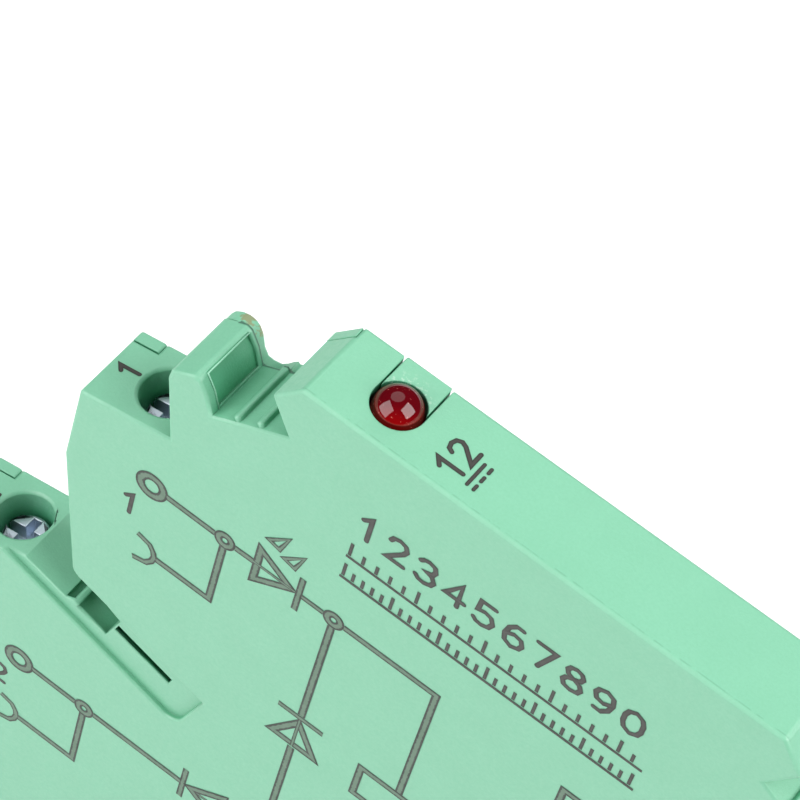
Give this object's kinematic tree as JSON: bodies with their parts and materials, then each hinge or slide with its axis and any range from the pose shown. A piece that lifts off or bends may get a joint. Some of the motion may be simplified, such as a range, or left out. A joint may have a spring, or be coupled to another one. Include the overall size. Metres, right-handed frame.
{
  "type": "slim interface relay",
  "caption": "Slim rail-mounted interface relay module with stepped screw terminals, a red status light and a spring latch for a 35 mm rail.",
  "frame": {"origin": "middle of the rail's front face, under the module, in the middle of its width", "axes": "+X along the module towards the output side, +Y across the width towards the cover, +Z away from the rail"},
  "size_m": [0.0818, 0.0062, 0.0948],
  "materials": {
    "green_plastic": "moulded, fine matt",
    "red_lens": "clear red, moulded",
    "zinc_plated_steel": "bright zinc plate",
    "tinned_copper": "tinned",
    "contact_brass": "stamped",
    "board_laminate": "solder resist",
    "chip_resin": "moulded",
    "relay_plastic": "moulded",
    "white_nylon": "moulded",
    "enamelled_copper": "wound enamelled wire",
    "soft_iron": "plated",
    "latch_plastic": "moulded, darker green",
    "spring_steel": "drawn wire"
  },
  "bodies": {
    "module": {"housing": "green_plastic", "cover": "green_plastic", "led": "red_lens", "led_leads": "tinned_copper", "circuit_board": "board_laminate", "rectifier_diodes": "chip_resin", "resistors": "chip_resin", "current_bar_a1": "contact_brass", "current_bar_a2": "contact_brass", "current_bar_com": "contact_brass", "current_bar_nc": "contact_brass", "current_bar_no": "contact_brass", "coil_links": "contact_brass", "relay_case": "relay_plastic", "relay_base": "relay_plastic", "coil_bobbin": "white_nylon", "coil_winding": "enamelled_copper", "coil_core": "soft_iron", "yoke": "soft_iron", "coil_pins": "tinned_copper", "fixed_contact_nc": "contact_brass", "fixed_contact_no": "contact_brass", "common_pin": "contact_brass", "latch_spring": "spring_steel"},
    "armature_arm": {"armature": "soft_iron"},
    "card": {"pusher_card": "white_nylon"},
    "contact_blade": {"moving_contact": "contact_brass"},
    "latch": {"rail_latch": "latch_plastic"},
    "clamp_screw_a1": {"screw_a1": "zinc_plated_steel"},
    "clamp_cage_a1": {"cage_a1": "zinc_plated_steel"},
    "clamp_screw_a2": {"screw_a2": "zinc_plated_steel"},
    "clamp_cage_a2": {"cage_a2": "zinc_plated_steel"},
    "clamp_screw_no": {"screw_no": "zinc_plated_steel"},
    "clamp_cage_no": {"cage_no": "zinc_plated_steel"},
    "clamp_screw_com": {"screw_com": "zinc_plated_steel"},
    "clamp_cage_com": {"cage_com": "zinc_plated_steel"},
    "clamp_screw_nc": {"screw_nc": "zinc_plated_steel"},
    "clamp_cage_nc": {"cage_nc": "zinc_plated_steel"}
  },
  "joints": [
    {"name": "screw_turn_a1", "type": "hinge", "parent": "module", "child": "clamp_screw_a1", "pos_m": [-0.0265, 0, 0.07599], "axis": [0.225, 0, -0.9744], "range_deg": [0, 1850]},
    {"name": "cage_rise_a1", "type": "slide", "parent": "module", "child": "clamp_cage_a1", "axis": [-0.225, 0, 0.9744], "range_m": [0, 0.00225]},
    {"name": "screw_turn_a2", "type": "hinge", "parent": "module", "child": "clamp_screw_a2", "pos_m": [-0.0347, 0, 0.05339], "axis": [0.225, 0, -0.9744], "range_deg": [0, 1850]},
    {"name": "cage_rise_a2", "type": "slide", "parent": "module", "child": "clamp_cage_a2", "axis": [-0.225, 0, 0.9744], "range_m": [0, 0.00225]},
    {"name": "screw_turn_no", "type": "hinge", "parent": "module", "child": "clamp_screw_no", "pos_m": [0.0265, 0, 0.07599], "axis": [-0.225, 0, -0.9744], "range_deg": [0, 1850]},
    {"name": "cage_rise_no", "type": "slide", "parent": "module", "child": "clamp_cage_no", "axis": [0.225, 0, 0.9744], "range_m": [0, 0.00225]},
    {"name": "screw_turn_com", "type": "hinge", "parent": "module", "child": "clamp_screw_com", "pos_m": [0.0347, 0, 0.05339], "axis": [-0.225, 0, -0.9744], "range_deg": [0, 1850]},
    {"name": "cage_rise_com", "type": "slide", "parent": "module", "child": "clamp_cage_com", "axis": [0.225, 0, 0.9744], "range_m": [0, 0.00225]},
    {"name": "screw_turn_nc", "type": "hinge", "parent": "module", "child": "clamp_screw_nc", "pos_m": [0.0379, 0, 0.03079], "axis": [-0.225, 0, -0.9744], "range_deg": [0, 1850]},
    {"name": "cage_rise_nc", "type": "slide", "parent": "module", "child": "clamp_cage_nc", "axis": [0.225, 0, 0.9744], "range_m": [0, 0.00225]},
    {"name": "latch_slide", "type": "slide", "parent": "module", "child": "latch", "axis": [-1, 0, 0], "range_m": [0, 0.0024], "stiffness_N_per_m": 1500, "springref_m": -0.002, "deforming": ["latch_spring"]},
    {"name": "armature_tilt", "type": "hinge", "parent": "module", "child": "armature_arm", "pos_m": [-0.00748, 0, 0.0623], "axis": [0, 1, 0], "range_deg": [0, 4.2]},
    {"name": "card_slide", "type": "slide", "parent": "module", "child": "card", "axis": [1, 0, 0], "range_m": [0, 0.00074], "stiffness_N_per_m": 80, "springref_m": -0.001},
    {"name": "contact_flex", "type": "hinge", "parent": "module", "child": "contact_blade", "pos_m": [0.01208, 0, 0.0618], "axis": [0, 1, 0], "range_deg": [0, 4.2]}
  ],
  "couplings": [
    {"joint": "screw_turn_a1", "follows": "cage_rise_a1", "rad_per_m": 13963},
    {"joint": "screw_turn_a2", "follows": "cage_rise_a2", "rad_per_m": 13963},
    {"joint": "screw_turn_no", "follows": "cage_rise_no", "rad_per_m": 13963},
    {"joint": "screw_turn_com", "follows": "cage_rise_com", "rad_per_m": 13963},
    {"joint": "screw_turn_nc", "follows": "cage_rise_nc", "rad_per_m": 13963},
    {"joint": "armature_tilt", "follows": "card_slide", "rad_per_m": 94.34},
    {"joint": "contact_flex", "follows": "card_slide", "rad_per_m": 94.34}
  ]
}
